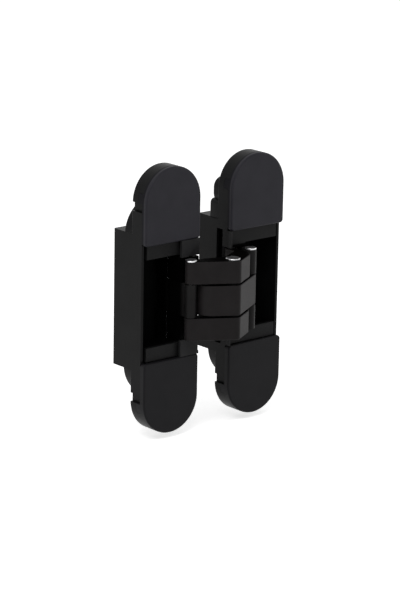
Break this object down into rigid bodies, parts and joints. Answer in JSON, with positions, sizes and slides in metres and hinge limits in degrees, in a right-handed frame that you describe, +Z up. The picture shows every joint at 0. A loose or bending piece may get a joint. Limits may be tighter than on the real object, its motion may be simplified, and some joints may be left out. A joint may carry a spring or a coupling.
{
  "type": "concealed door hinge",
  "caption": "Concealed door hinge with interleaved swinging levers between two mortised housings, shown open at 180 degrees.",
  "frame": {"origin": "midway between the frame side's two fixing screws, on the back of the housing's flange", "axes": "+X from the frame side to the door side, +Y into the door edge, +Z up along the door's axis"},
  "size_m": [0.0736, 0.0359, 0.1116],
  "materials": {
    "cast_housing": "satin",
    "carriage": "satin",
    "lever": "satin",
    "cover": "satin",
    "pin": "satin",
    "screw": "blackened",
    "bronze": "plain",
    "washer": "plain"
  },
  "bodies": {
    "frame_side": {"housing_frame_side": "cast_housing", "cover_upper_frame_side": "cover", "cover_lower_frame_side": "cover", "clamp_screws_frame_side": "screw"},
    "carriage_frame": {"carriage_frame_side": "carriage", "main_pin_frame_side": "pin"},
    "middle_arm": {"middle_lever": "lever", "centre_bush": "bronze", "eye_pin_door_side": "pin", "main_washers_frame_side": "washer"},
    "fork_arm": {"fork_lever_upper": "lever", "fork_lever_lower": "lever", "centre_pin": "pin", "centre_washers": "washer", "eye_pin_frame_side": "pin"},
    "rocker_frame": {"rocker_frame_side": "lever", "rocker_pin_frame_side": "pin"},
    "rocker_door": {"rocker_upper_door_side": "lever", "rocker_lower_door_side": "lever", "rocker_pin_door_side": "pin"},
    "carriage_door": {"carriage_door_side": "carriage", "main_pin_door_side": "pin", "main_washers_door_side": "washer"},
    "door_side": {"housing_door_side": "cast_housing", "cover_upper_door_side": "cover", "cover_lower_door_side": "cover", "clamp_screws_door_side": "screw"}
  },
  "joints": [
    {"name": "lateral_adjust", "type": "slide", "parent": "frame_side", "child": "carriage_frame", "axis": [1, 0, 0], "range_m": [-0.001, 0.001]},
    {"name": "fold", "type": "hinge", "parent": "carriage_frame", "child": "middle_arm", "pos_m": [0.01085, -0.005, 0], "axis": [0, 0, -1], "range_deg": [0, 109.68]},
    {"name": "centre_joint", "type": "hinge", "parent": "middle_arm", "child": "fork_arm", "pos_m": [0.02255, -0.0199, 0], "axis": [0, 0, 1], "range_deg": [0, 39.36]},
    {"name": "door_fold", "type": "hinge", "parent": "fork_arm", "child": "carriage_door", "pos_m": [0.03425, -0.005, 0], "axis": [0, 0, -1], "range_deg": [0, 109.68]},
    {"name": "frame_rocker", "type": "hinge", "parent": "fork_arm", "child": "rocker_frame", "pos_m": [0.00658, -0.01246, 0], "axis": [0, 0, -1], "range_deg": [0, 42.68]},
    {"name": "door_rocker", "type": "hinge", "parent": "middle_arm", "child": "rocker_door", "pos_m": [0.03852, -0.01246, 0], "axis": [0, 0, 1], "range_deg": [0, 42.68]},
    {"name": "height_adjust", "type": "slide", "parent": "carriage_door", "child": "door_side", "axis": [0, 0, 1], "range_m": [-0.002, 0.002]}
  ],
  "couplings": [
    {"joint": "centre_joint", "follows": "fold", "ratio": 0.35886},
    {"joint": "door_fold", "follows": "fold", "ratio": 1},
    {"joint": "frame_rocker", "follows": "fold", "ratio": 0.3891},
    {"joint": "door_rocker", "follows": "fold", "ratio": 0.3891}
  ]
}
